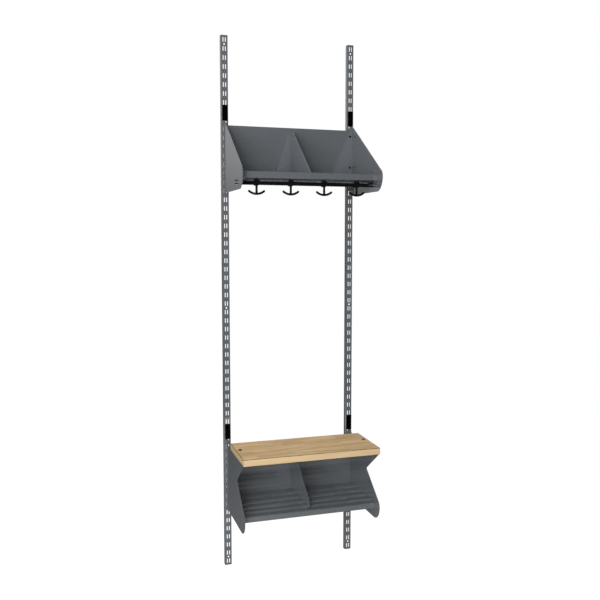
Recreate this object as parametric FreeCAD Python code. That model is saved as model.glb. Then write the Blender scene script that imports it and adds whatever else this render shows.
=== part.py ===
import FreeCAD, Part
import math
import os

# Hall unit hung on two slotted uprights: a hook shelf above, a shoe bench below.
# X runs along the wall, +Y into the wall and Z up, in millimetres.
# The origin is the middle of the wall-screw pattern, level with the uprights' front faces.

# Whole unit
unit_width = 500.0
plate_thickness = 2.5
sheet_thickness = 1.5
bend_radius = 1.5
end_gap = 0.5
cut_margin = 1.0

# Slotted uprights: channels open to the wall, counted in slot pairs
upright_height = 1984.0
upright_width = 26.5
upright_depth = 17.5
upright_sheet = 1.8
upright_bend_radius = 2.0
slot_pitch = 32.0
slot_length = 16.5
slot_side_clearance = 0.45
slot_column_spacing = 8.4
wall_hole_diameter = 6.5
slot_count_above_shelf = 10
slot_count_below_bench = 15

# Hooks on the back edges of the end plates, hung in the slots
hook_neck_height = 6.0
hook_drop = 6.0
hook_depth = 4.0
hook_chamfer = 1.0
hook_sheet_clearance = 0.2
slots_from_hook_to_hook = 3
lowest_hook_margin = 20.0

# End plates: the toe and the nose are alike on the shelf and the bench
plate_reach = 306.0
toe_radius = 50.0
nose_radius = 28.0
nose_height = 65.0
plate_corner_radius = 6.0
shelf_plate_height = 262.0
shelf_plate_top_depth = 14.0
bench_plate_height = 266.0
bench_plate_top_depth = 57.0

# Upper bin, folded from one sheet
panel_standoff = 17.5
bin_depth = 246.0
bin_floor_rise = 38.0
bin_panel_height = 206.0
bin_lip_height = 21.5

# Shoe tray, folded from one sheet
tray_depth = 246.0
tray_floor_rise = 56.0
tray_panel_height = 182.0
tray_apron_height = 20.0
rib_pitch = 50.0
rib_height = 5.0
rib_crest = 13.0
rib_slope_run = 6.0
last_rib_setback = 30.0

# Dividers, with tabs that pass through the back panels
divider_thickness = 2.0
divider_tab_height = 12.0
divider_tab_length = 3.0
divider_tab_end_distance = 40.0
tab_clearance = 0.15
bin_divider_height = 187.0
bin_divider_top_depth = 34.0
tray_divider_height = 178.0
tray_divider_top_depth = 76.0
tray_divider_sweep_radius = 300.0
tray_divider_sweep_depth = 119.0
tray_divider_sweep_height = 104.0
tray_divider_nose_height = 30.0
tray_divider_setback = 14.0

# Cleats: ears on the end plates behind the bin's panel and under both floors
cleat_reach = 22.0
cleat_height = 30.0
bin_screw_below_top = 22.0
bin_screw_above_floor = 67.0
bin_screw_inset = 10.5
bin_floor_cleat_depth = 90.0
floor_cleat_width = 18.0
tray_rear_cleat_depth = 26.0
tray_front_cleat_setback = 16.0

# Hook rail: a flat bar with forked ends, whose tenons pass through the shelf's end plates
rail_thickness = 8.0
rail_height = 17.0
rail_chamfer = 4.5
rail_prong_height = 6.0
rail_prong_length = 19.5
rail_setback_from_lip = 43.5
tenon_width = 6.5
tenon_height = 4.5
tenon_proud = 1.5
tenon_clearance = 0.15

# Coat hooks that slide on the rail
coat_hook_count = 4
outermost_hook_inset = 45.0
jaw_wall = 2.5
jaw_width = 14.0
jaw_lip = 3.5
jaw_gap_below_bin = 1.3
slide_clearance = 0.2
boss_thickness = 3.5
stem_width = 7.5
stem_thickness = 6.0
coat_hook_hang = 43.0
arm_radius = 42.0
arm_width = 7.0
arm_half_angle = 40.0
arm_tip_chamfer = 1.5

# Lock clips pushed into the slots above the end plates
clip_width = 19.0
clip_top_margin = 22.5
clip_proud = 9.0
clip_chamfer = 1.5
clip_clearance = 0.2
clip_peg_reach = 3.0
clip_grip_distance = 4.5
clip_grip_height = 4.5
clip_grip_depth = 2.0

# Seat board on inward flanges of the bench's end plates
seat_depth = 217.0
seat_thickness = 23.5
seat_end_overhang = 1.5
seat_back_gap = 86.0
seat_chamfer = 1.5
seat_below_plate_top = 17.75
seat_flange_reach = 25.5
seat_flange_back_gap = 4.0
seat_flange_front_gap = 14.0
seat_screw_inset = 14.0
seat_screw_depth = 94.0
plate_rise_gap = 4.0
plate_setback_under_seat = 4.0
notch_depth = 124.0
notch_height = 161.0
notch_radius = 5.0

# Screws and nuts
bin_screw_diameter = 4.0
bin_screw_across_flats = 7.0
bin_screw_head_height = 2.8
seat_screw_diameter = 6.0
seat_screw_head_diameter = 12.0
seat_screw_head_height = 2.4
screw_clearance = 0.15
screw_end_length = 3.0
nut_height = 5.0
nut_across_flats = 10.0

# Places that follow from the sizes above
front_of_upright = 0.0
wall = front_of_upright + upright_depth
lower_end = -upright_height / 2
outer_of_plate = unit_width / 2
inner_of_plate = outer_of_plate - plate_thickness
upright_x = (outer_of_plate + inner_of_plate - slot_column_spacing) / 2
slot_width = plate_thickness + 2 * slot_side_clearance
slot_count = int(upright_height // slot_pitch)
shelf_top_slot = slot_count - slot_count_above_shelf
bench_top_slot = slot_count_below_bench
plate_front = front_of_upright - plate_reach
panel_back = front_of_upright - panel_standoff
panel_front = panel_back - sheet_thickness
sheet_end = inner_of_plate - end_gap
bin_screw_x = inner_of_plate - bin_screw_inset
bin_hole_radius = bin_screw_diameter / 2 + screw_clearance
seat_hole_radius = seat_screw_diameter / 2 + screw_clearance


def slot_center(index):
    """Height of the middle of a slot pair, counted from the upright's lower end."""
    return lower_end + (index + 0.5) * slot_pitch


def plate_top(top_slot):
    """Height of an end plate's top edge, level with the neck of its uppermost hook."""
    return slot_center(top_slot) - slot_length / 2 + hook_neck_height


shelf_top = plate_top(shelf_top_slot)
shelf_bottom = shelf_top - shelf_plate_height
bench_top = plate_top(bench_top_slot)
bench_bottom = bench_top - bench_plate_height
bin_floor = shelf_bottom + bin_floor_rise
bin_screw_heights = (bin_floor + bin_panel_height - bin_screw_below_top, bin_floor + bin_screw_above_floor)
tray_floor = bench_bottom + tray_floor_rise
tray_crest = tray_floor + rib_height
tray_apron = panel_front - tray_depth
seat_bottom = bench_top - seat_below_plate_top
seat_back = front_of_upright - seat_back_gap
seat_front = seat_back - seat_depth
seat_screw_x = outer_of_plate - seat_screw_inset
seat_screw_y = seat_back - seat_screw_depth
rail_top = bin_floor - jaw_gap_below_bin - jaw_wall
rail_bottom = rail_top - rail_height
rail_y = panel_front - bin_depth + rail_setback_from_lip
rail_end = inner_of_plate - rail_prong_length
coat_hook_pitch = 2 * (rail_end - outermost_hook_inset) / (coat_hook_count - 1)
prong_heights = (rail_bottom + rail_prong_height / 2, rail_top - rail_prong_height / 2)


def on_yz(x):
    """Place an outline's two coordinates as Y and Z at the given X."""
    return lambda a, b: FreeCAD.Vector(x, a, b)


def on_xy(z):
    """Place an outline's two coordinates as X and Y at the given Z."""
    return lambda a, b: FreeCAD.Vector(a, b, z)


def box(low, high):
    """A block between two opposite corners."""
    size = [high[i] - low[i] for i in range(3)]
    return Part.makeBox(*size, FreeCAD.Vector(*low))


def cylinder(start, direction, radius, length):
    """A round bar from a point along a direction."""
    return Part.makeCylinder(radius, length, FreeCAD.Vector(*start), FreeCAD.Vector(*direction))


def rounded_face(corners, place):
    """A flat face from corners (a, b, radius); a round shrinks where its edges are too short for it."""
    count = len(corners)
    points = [FreeCAD.Vector(a, b, 0) for a, b, radius in corners]
    lengths = [(points[(i + 1) % count] - points[i]).Length for i in range(count)]
    half_turns = []
    setbacks = []
    for i in range(count):
        half_turn = (points[i] - points[i - 1]).getAngle(points[(i + 1) % count] - points[i]) / 2
        half_turns.append(half_turn)
        setbacks.append(corners[i][2] * math.tan(half_turn))
    for i in range(count):
        after = (i + 1) % count
        wanted = setbacks[i] + setbacks[after]
        if wanted > lengths[i]:
            setbacks[i] *= lengths[i] / wanted
            setbacks[after] *= lengths[i] / wanted
    edges = []
    ends = []
    for i in range(count):
        back = (points[i - 1] - points[i]).normalize()
        ahead = (points[(i + 1) % count] - points[i]).normalize()
        start = points[i] + back * setbacks[i]
        end = points[i] + ahead * setbacks[i]
        ends.append((start, end))
        if setbacks[i] > 0:
            to_arc = setbacks[i] * (1 - math.cos(half_turns[i])) / math.sin(half_turns[i])
            middle = points[i] + (back + ahead).normalize() * to_arc
            arc = Part.Arc(*[place(point.x, point.y) for point in (start, middle, end)])
            edges.append(arc.toShape())
        else:
            edges.append(None)
    outline = []
    for i in range(count):
        if edges[i] is not None:
            outline.append(edges[i])
        leaving = ends[i][1]
        arriving = ends[(i + 1) % count][0]
        if (arriving - leaving).Length > 1e-6:
            line = Part.LineSegment(place(leaving.x, leaving.y), place(arriving.x, arriving.y))
            outline.append(line.toShape())
    return Part.Face(Part.Wire(outline))


def folded_sides(path, thickness, bends):
    """Both sides of a folded sheet: its path, and a second one to the left, with a radius at each bend."""
    points = [FreeCAD.Vector(a, b, 0) for a, b in path]
    runs = [(points[i + 1] - points[i]).normalize() for i in range(len(points) - 1)]
    normals = [FreeCAD.Vector(-run.y, run.x, 0) for run in runs]
    start = points[0] + normals[0] * thickness
    end = points[-1] + normals[-1] * thickness
    near_side = [(points[0].x, points[0].y, 0)]
    far_side = [(start.x, start.y, 0)]
    for i in range(1, len(runs)):
        far = points[i] + (normals[i - 1] + normals[i]) * (thickness / (1 + normals[i - 1].dot(normals[i])))
        inner = bends[i - 1]
        outer = inner + thickness if inner > 0 else 0
        turns_left = runs[i - 1].cross(runs[i]).z > 0
        near_side.append((points[i].x, points[i].y, outer if turns_left else inner))
        far_side.append((far.x, far.y, inner if turns_left else outer))
    near_side.append((points[-1].x, points[-1].y, 0))
    far_side.append((end.x, end.y, 0))
    return near_side, far_side


def extrude_across(corners, low_x, high_x):
    """A solid with an outline in Y and Z, between two places along the wall."""
    return rounded_face(corners, on_yz(low_x)).extrude(FreeCAD.Vector(high_x - low_x, 0, 0))


def mirrored(shape):
    """The same piece at the other end of the unit."""
    return shape.mirror(FreeCAD.Vector(0, 0, 0), FreeCAD.Vector(1, 0, 0))


def both_ends(shapes):
    """Like pieces at the right end and, mirrored, at the left."""
    return shapes + [mirrored(shape) for shape in shapes]


def cut_all(shape, tools):
    return shape.cut(Part.makeCompound(tools)).removeSplitter()


def fuse_all(shape, others):
    return shape.fuse(others).removeSplitter()


def upright():
    """A folded channel with two columns of slots and three wall-screw holes."""
    half = upright_width / 2
    path = [
        (upright_x - half, wall),
        (upright_x - half, front_of_upright),
        (upright_x + half, front_of_upright),
        (upright_x + half, wall),
    ]
    near_side, far_side = folded_sides(path, upright_sheet, [upright_bend_radius] * 2)
    channel = rounded_face(near_side + far_side[::-1], on_xy(lower_end))
    channel = channel.extrude(FreeCAD.Vector(0, 0, upright_height))
    before = front_of_upright - cut_margin
    behind = front_of_upright + upright_sheet + cut_margin
    openings = []
    for index in range(slot_count):
        low_z = slot_center(index) - slot_length / 2
        for side in (-1, 1):
            low_x = upright_x + side * slot_column_spacing / 2 - slot_width / 2
            openings.append(box((low_x, before, low_z), (low_x + slot_width, behind, low_z + slot_length)))
    for index in (1, slot_count // 2, slot_count - 1):
        start = (upright_x, before, lower_end + index * slot_pitch)
        openings.append(cylinder(start, (0, 1, 0), wall_hole_diameter / 2, behind - before))
    return cut_all(channel, openings)


def hooked_edge(top_slot, bottom):
    """The back edge of an end plate, from below upwards, with the hooks that hang in the slots."""
    behind = front_of_upright + upright_sheet + hook_sheet_clearance
    end = behind + hook_depth
    corners = []
    for index in range(top_slot % slots_from_hook_to_hook, top_slot + 1, slots_from_hook_to_hook):
        ledge = slot_center(index) - slot_length / 2
        if ledge < bottom + lowest_hook_margin:
            continue
        neck_top = ledge + hook_neck_height
        corners.append((front_of_upright, ledge, 0))
        corners.append((behind, ledge, 0))
        corners.append((behind, ledge - hook_drop, 0))
        corners.append((end - hook_chamfer, ledge - hook_drop, 0))
        corners.append((end, ledge - hook_drop + hook_chamfer, 0))
        corners.append((end, neck_top - hook_chamfer, 0))
        corners.append((end - hook_chamfer, neck_top, 0))
        if index < top_slot:
            corners.append((front_of_upright, neck_top, 0))
    return corners


def toe(bottom):
    """The lower front of an end plate, downwards: the nose, the round toe and the back corner."""
    return [
        (plate_front, bottom + nose_height, nose_radius),
        (plate_front, bottom, toe_radius),
        (front_of_upright, bottom, 0),
    ]


def floor_cleat(depth, underside):
    """An ear under a floor, at a depth measured forwards from the back panel."""
    middle = panel_front - depth
    low = (inner_of_plate - cleat_reach, middle - floor_cleat_width / 2, underside - plate_thickness)
    high = (inner_of_plate, middle + floor_cleat_width / 2, underside)
    return box(low, high)


def shelf_end_plate():
    """The right end plate of the hook shelf, with cleats for the bin and holes for the rail."""
    top_front = (front_of_upright - shelf_plate_top_depth, shelf_top, plate_corner_radius)
    corners = hooked_edge(shelf_top_slot, shelf_bottom) + [top_front] + toe(shelf_bottom)
    plate = extrude_across(corners, inner_of_plate, outer_of_plate)
    cleats = [floor_cleat(bin_floor_cleat_depth, bin_floor)]
    holes = []
    for height in bin_screw_heights:
        low = (inner_of_plate - cleat_reach, panel_back, height - cleat_height / 2)
        high = (inner_of_plate, panel_back + plate_thickness, height + cleat_height / 2)
        cleats.append(box(low, high))
        holes.append(cylinder((bin_screw_x, panel_back, height), (0, 1, 0), bin_hole_radius, plate_thickness))
    half_width = tenon_width / 2 + tenon_clearance
    half_height = tenon_height / 2 + tenon_clearance
    for height in prong_heights:
        low = (inner_of_plate, rail_y - half_width, height - half_height)
        holes.append(box(low, (outer_of_plate, rail_y + half_width, height + half_height)))
    return cut_all(fuse_all(plate, cleats), holes)


def bench_end_plate():
    """The right end plate of the bench, with a notched front, a seat flange and cleats for the tray."""
    front = [
        (front_of_upright - bench_plate_top_depth, bench_top, plate_corner_radius),
        (seat_back + plate_rise_gap, seat_bottom, 0),
        (seat_front + plate_setback_under_seat, seat_bottom, 0),
        (seat_front + notch_depth, bench_bottom + notch_height, notch_radius),
    ]
    corners = hooked_edge(bench_top_slot, bench_bottom) + front + toe(bench_bottom)
    plate = extrude_across(corners, inner_of_plate, outer_of_plate)
    underside = seat_bottom - plate_thickness
    low = (inner_of_plate - seat_flange_reach, seat_front + seat_flange_front_gap, underside)
    high = (inner_of_plate, seat_back - seat_flange_back_gap, seat_bottom)
    carriers = [box(low, high)]
    for depth in (tray_rear_cleat_depth, tray_depth - tray_front_cleat_setback):
        carriers.append(floor_cleat(depth, tray_floor - sheet_thickness))
    hole = cylinder((seat_screw_x, seat_screw_y, underside), (0, 0, 1), seat_hole_radius, plate_thickness)
    return cut_all(fuse_all(plate, carriers), [hole])


def tab_heights(low, height):
    """Heights of a divider's two tabs, each at the same distance from one end of its back edge."""
    return low + divider_tab_end_distance, low + height - divider_tab_end_distance


bin_tab_heights = tab_heights(bin_floor, bin_divider_height)
tray_tab_heights = tab_heights(tray_floor, tray_divider_height)


def tab_slots(heights):
    """Cuts in a back panel for a divider's tabs."""
    half_width = divider_thickness / 2 + tab_clearance
    half_height = divider_tab_height / 2 + tab_clearance
    slots = []
    for height in heights:
        low = (-half_width, panel_front - cut_margin, height - half_height)
        slots.append(box(low, (half_width, panel_back + cut_margin, height + half_height)))
    return slots


def divider(corners, heights):
    """A plate across the middle of the unit, with tabs on its back edge."""
    half = divider_thickness / 2
    tabs = []
    for height in heights:
        low = (-half, panel_front, height - divider_tab_height / 2)
        tabs.append(box(low, (half, panel_back + divider_tab_length, height + divider_tab_height / 2)))
    return fuse_all(extrude_across(corners, -half, half), tabs)


def bin_sides():
    """The bin's section: back panel, floor and upturned lip, on the inside and on the outside."""
    lip_inside = panel_front - bin_depth
    floor_top = bin_floor + sheet_thickness
    path = [
        (panel_front, bin_floor + bin_panel_height),
        (panel_front, floor_top),
        (lip_inside, floor_top),
        (lip_inside, bin_floor + bin_lip_height),
    ]
    return folded_sides(path, sheet_thickness, [bend_radius] * 2)


def shelf_bin():
    inside, outside = bin_sides()
    sheet = extrude_across(inside + outside[::-1], -sheet_end, sheet_end)
    length = sheet_thickness + 2 * cut_margin
    holes = []
    for height in bin_screw_heights:
        start = (bin_screw_x, panel_front - cut_margin, height)
        holes.append(cylinder(start, (0, 1, 0), bin_hole_radius, length))
    return cut_all(sheet, tab_slots(bin_tab_heights) + both_ends(holes))


def shelf_divider():
    """The sloping plate in the middle of the bin, seated on its panel, floor and lip."""
    inside, outside = bin_sides()
    top = bin_floor + bin_divider_height
    corners = [(panel_front, top, 0)] + inside[1:]
    corners.append((panel_front - bin_divider_top_depth, top, plate_corner_radius))
    return divider(corners, bin_tab_heights)


def shoe_tray():
    """Back panel, ribbed floor and front apron in one folded sheet."""
    path = [(panel_front, tray_floor + tray_panel_height), (panel_front, tray_floor)]
    bends = [bend_radius]
    rib_count = int((tray_depth - last_rib_setback) // rib_pitch)
    for index in reversed(range(rib_count)):
        front_foot = tray_apron + last_rib_setback + index * rib_pitch
        back_foot = front_foot + rib_crest + 2 * rib_slope_run
        path.append((back_foot, tray_floor))
        path.append((back_foot - rib_slope_run, tray_crest))
        path.append((front_foot + rib_slope_run, tray_crest))
        path.append((front_foot, tray_floor))
        bends += [0] * 4
    path.append((tray_apron, tray_floor))
    path.append((tray_apron, tray_floor - tray_apron_height))
    bends.append(bend_radius)
    above, below = folded_sides(path, sheet_thickness, bends)
    sheet = extrude_across(above + below[::-1], -sheet_end, sheet_end)
    return cut_all(sheet, tab_slots(tray_tab_heights))


def tray_divider():
    """The plate between the shoe compartments: it stands on the ribs and sweeps up towards the seat."""
    top = tray_floor + tray_divider_height
    nose = tray_apron + tray_divider_setback
    sweep = (panel_front - tray_divider_sweep_depth, tray_floor + tray_divider_sweep_height)
    corners = [
        (panel_front, top, 0),
        (panel_front, tray_crest, 0),
        (nose, tray_crest, 0),
        (nose, tray_floor + tray_divider_nose_height, nose_radius),
        (*sweep, tray_divider_sweep_radius),
        (panel_front - tray_divider_top_depth, top, plate_corner_radius),
    ]
    return divider(corners, tray_tab_heights)


def hook_rail():
    """The bar with its upper front edge sloped, forked ends that stand against the end plates, and tenons."""
    half = rail_thickness / 2
    pieces = []
    for height in prong_heights:
        low = (rail_end, rail_y - half, height - rail_prong_height / 2)
        pieces.append(box(low, (inner_of_plate, rail_y + half, height + rail_prong_height / 2)))
        low = (inner_of_plate, rail_y - tenon_width / 2, height - tenon_height / 2)
        high = (outer_of_plate + tenon_proud, rail_y + tenon_width / 2, height + tenon_height / 2)
        pieces.append(box(low, high))
    profile = [
        (rail_y - half, rail_bottom, 0),
        (rail_y + half, rail_bottom, 0),
        (rail_y + half, rail_top, 0),
        (rail_y - half + rail_chamfer, rail_top, 0),
        (rail_y - half, rail_top - rail_chamfer, 0),
    ]
    bar = extrude_across(profile, -rail_end, rail_end)
    return fuse_all(bar, both_ends(pieces))


def coat_hook(x):
    """A cast anchor hook that hangs on the rail: jaws, a round boss, a stem and two upswept arms."""
    back = rail_y + rail_thickness / 2 + slide_clearance
    front = rail_y - rail_thickness / 2 - slide_clearance
    low = rail_bottom - slide_clearance
    path = [
        (back, low + jaw_lip),
        (back, low),
        (front, low),
        (front, rail_top),
        (back, rail_top),
        (back, rail_top - jaw_lip),
    ]
    inside, outside = folded_sides(path, jaw_wall, [0] * 4)
    jaws = extrude_across(inside + outside[::-1], x - jaw_width / 2, x + jaw_width / 2)
    middle = (low + rail_top) / 2
    boss_front = front - jaw_wall - boss_thickness
    boss = cylinder((x, boss_front, middle), (0, 1, 0), (rail_top - low) / 2 + jaw_wall, boss_thickness)
    foot = middle - coat_hook_hang
    stem_low = (x - stem_width / 2, boss_front, foot + arm_width / 2)
    stem = box(stem_low, (x + stem_width / 2, boss_front + stem_thickness, middle))
    center = foot + arm_width / 2 + arm_radius

    def on_arm(radius, angle, beyond):
        """A point at an angle from straight down, moved on beyond it along the arm."""
        across = radius * math.sin(angle) + beyond * math.cos(angle)
        up = beyond * math.sin(angle) - radius * math.cos(angle)
        return FreeCAD.Vector(x + across, boss_front, center + up)

    tip = math.radians(arm_half_angle)
    inner = arm_radius - arm_width / 2
    outer = arm_radius + arm_width / 2
    edges = [
        Part.Arc(on_arm(outer, -tip, 0), on_arm(outer, 0, 0), on_arm(outer, tip, 0)),
        Part.Arc(on_arm(inner, tip, 0), on_arm(inner, 0, 0), on_arm(inner, -tip, 0)),
    ]
    for side in (-1, 1):
        bevel = side * arm_tip_chamfer
        nose = [
            on_arm(outer, side * tip, 0),
            on_arm(outer - arm_tip_chamfer, side * tip, bevel),
            on_arm(inner + arm_tip_chamfer, side * tip, bevel),
            on_arm(inner, side * tip, 0),
        ]
        edges += [Part.LineSegment(nose[i], nose[i + 1]) for i in range(3)]
    outline = Part.__sortEdges__([edge.toShape() for edge in edges])
    arms = Part.Face(Part.Wire(outline))
    arms = arms.extrude(FreeCAD.Vector(0, stem_thickness, 0))
    return fuse_all(jaws, [boss, stem, arms])


def lock_clip(top_slot):
    """A moulded clip above an end plate: its pegs fill the slots, so that the plate can't lift out."""
    foot = plate_top(top_slot) + clip_clearance
    upper = slot_center(top_slot + 1)
    head = upper + clip_top_margin
    front = front_of_upright - clip_proud
    left = upright_x - clip_width / 2
    right = upright_x + clip_width / 2
    body = box((left, front, foot), (right, front_of_upright, head))
    front_edges = [edge for edge in body.Edges if abs(edge.CenterOfMass.y - front) < 1e-6]
    body = body.makeChamfer(clip_chamfer, front_edges)
    grip_top = head - clip_grip_distance
    grip_low = (left - cut_margin, front - cut_margin, grip_top - clip_grip_height)
    body = body.cut(box(grip_low, (right + cut_margin, front + clip_grip_depth, grip_top)))
    peg_end = front_of_upright + upright_sheet + clip_peg_reach
    half = slot_width / 2 - clip_clearance
    spans = [
        (foot, slot_center(top_slot) + slot_length / 2 - clip_clearance),
        (upper - slot_length / 2 + clip_clearance, upper + slot_length / 2 - clip_clearance),
    ]
    pegs = []
    for side in (-1, 1):
        column = upright_x + side * slot_column_spacing / 2
        for bottom, top in spans:
            pegs.append(box((column - half, front_of_upright, bottom), (column + half, peg_end, top)))
    return fuse_all(body, pegs)


def bench_seat():
    """The wooden board, its edges eased, with a hole near each end."""
    top = seat_bottom + seat_thickness
    end = outer_of_plate + seat_end_overhang
    board = box((-end, seat_front, seat_bottom), (end, seat_back, top))
    board = board.makeChamfer(seat_chamfer, board.Edges)
    hole = cylinder((seat_screw_x, seat_screw_y, seat_bottom), (0, 0, 1), seat_hole_radius, seat_thickness)
    return cut_all(board, both_ends([hole]))


def hexagon_bar(across_flats, height):
    """A hexagonal prism that stands on the origin, along Z."""
    radius = across_flats / math.sqrt(3)
    corners = []
    for index in range(6):
        angle = index * math.pi / 3
        corners.append((radius * math.cos(angle), radius * math.sin(angle), 0))
    return rounded_face(corners, on_xy(0)).extrude(FreeCAD.Vector(0, 0, height))


def screw(seat, direction, diameter, length, head):
    """A screw whose head, made standing on the origin, is turned to stand on a seat."""
    shank = cylinder((0, 0, 0), (0, 0, -1), diameter / 2, length)
    body = fuse_all(shank, [head])
    turn = FreeCAD.Rotation(FreeCAD.Vector(0, 0, -1), FreeCAD.Vector(*direction))
    body.Placement = FreeCAD.Placement(FreeCAD.Vector(*seat), turn)
    return body


def bin_screws():
    """Hexagon-head screws through the bin's back panel into the cleats."""
    length = sheet_thickness + plate_thickness + screw_end_length
    screws = []
    for height in bin_screw_heights:
        head = hexagon_bar(bin_screw_across_flats, bin_screw_head_height)
        screws.append(screw((bin_screw_x, panel_front, height), (0, 1, 0), bin_screw_diameter, length, head))
    return both_ends(screws)


def seat_screws():
    """Flat round-head screws through the seat and its flanges."""
    length = seat_thickness + plate_thickness + nut_height + screw_end_length
    head = cylinder((0, 0, 0), (0, 0, 1), seat_screw_head_diameter / 2, seat_screw_head_height)
    seat = (seat_screw_x, seat_screw_y, seat_bottom + seat_thickness)
    return both_ends([screw(seat, (0, 0, -1), seat_screw_diameter, length, head)])


def seat_nuts():
    """Hexagon nuts under the seat flanges."""
    bore = cylinder((0, 0, 0), (0, 0, 1), seat_hole_radius, nut_height)
    nut = hexagon_bar(nut_across_flats, nut_height).cut(bore)
    nut.translate(FreeCAD.Vector(seat_screw_x, seat_screw_y, seat_bottom - plate_thickness - nut_height))
    return both_ends([nut])


def save(name, shape):
    """Write one piece, or one group of like pieces, as its own file."""
    shape.exportStep("parts/" + name + ".step")


def save_pair(name, right_shape):
    save(name + "_right", right_shape)
    save(name + "_left", mirrored(right_shape))


os.makedirs("parts", exist_ok=True)

save_pair("upright", upright())
save_pair("shelf_end_plate", shelf_end_plate())
save_pair("bench_end_plate", bench_end_plate())
save_pair("shelf_lock_clip", lock_clip(shelf_top_slot))
save_pair("bench_lock_clip", lock_clip(bench_top_slot))
save("shelf_bin", shelf_bin())
save("shelf_divider", shelf_divider())
save("bin_screws", Part.makeCompound(bin_screws()))
save("hook_rail", hook_rail())
for number in range(coat_hook_count):
    place = outermost_hook_inset - rail_end + number * coat_hook_pitch
    save("coat_hook_" + str(number + 1), coat_hook(place))
save("shoe_tray", shoe_tray())
save("tray_divider", tray_divider())
save("bench_seat", bench_seat())
save("seat_screws", Part.makeCompound(seat_screws()))
save("seat_nuts", Part.makeCompound(seat_nuts()))
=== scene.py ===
import math

import bmesh
import bpy
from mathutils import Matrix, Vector


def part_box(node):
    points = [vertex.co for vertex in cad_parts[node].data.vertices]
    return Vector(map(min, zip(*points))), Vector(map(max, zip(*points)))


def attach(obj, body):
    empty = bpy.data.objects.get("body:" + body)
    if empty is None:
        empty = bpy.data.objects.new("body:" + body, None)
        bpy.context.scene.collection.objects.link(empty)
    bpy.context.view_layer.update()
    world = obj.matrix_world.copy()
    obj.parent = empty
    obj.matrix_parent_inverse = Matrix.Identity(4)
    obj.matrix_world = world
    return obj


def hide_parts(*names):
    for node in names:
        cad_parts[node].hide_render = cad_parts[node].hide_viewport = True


bl_info = {
    "name": "Slotted-upright hall unit",
    "version": (1, 0, 0),
    "blender": (4, 5, 0),
    "location": "3D View > Sidebar > Hall Unit",
    "description": "Finishes a hall unit: steelwork, coat hooks, lock clips, seat board and fasteners",
    "category": "Object",
}

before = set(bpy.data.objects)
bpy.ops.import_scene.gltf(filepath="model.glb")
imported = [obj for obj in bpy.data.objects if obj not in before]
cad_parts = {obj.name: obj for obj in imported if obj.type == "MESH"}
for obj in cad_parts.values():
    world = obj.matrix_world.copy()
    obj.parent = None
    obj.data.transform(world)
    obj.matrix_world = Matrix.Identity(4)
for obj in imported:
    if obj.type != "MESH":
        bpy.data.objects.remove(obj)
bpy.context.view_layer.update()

STEELWORK = (
    "upright_left",
    "upright_right",
    "shelf_end_plate_left",
    "shelf_end_plate_right",
    "bench_end_plate_left",
    "bench_end_plate_right",
    "shelf_bin",
    "shelf_divider",
    "shoe_tray",
    "tray_divider",
)
COAT_HOOKS = ("coat_hook_1", "coat_hook_2", "coat_hook_3", "coat_hook_4")
LOCK_CLIPS = (
    "shelf_lock_clip_left",
    "shelf_lock_clip_right",
    "bench_lock_clip_left",
    "bench_lock_clip_right",
)

# Points this close are one point, and a face or edge this close to a plane lies in it.
NEAR = 1e-5
# How far a cutter reaches past what it cuts, or a peg into what it grows from.
OVERRUN = 0.001
# How far a shank reaches into its head.
OVERLAP = 0.0003
# A face is level where more than LEVEL of its normal points up or down, and leans where more than LEANING
# does. It is sloped where more than SLOPED of its normal points along each of two axes.
LEVEL = 0.99
LEANING = 0.01
SLOPED = 0.6


def linear(hex_colour):
    """The linear red, green and blue of an sRGB colour written as #rrggbb."""
    channels = [int(hex_colour[i:i + 2], 16) / 255 for i in (1, 3, 5)]
    return [c / 12.92 if c <= 0.04045 else ((c + 0.055) / 1.055) ** 2.4 for c in channels]


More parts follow.
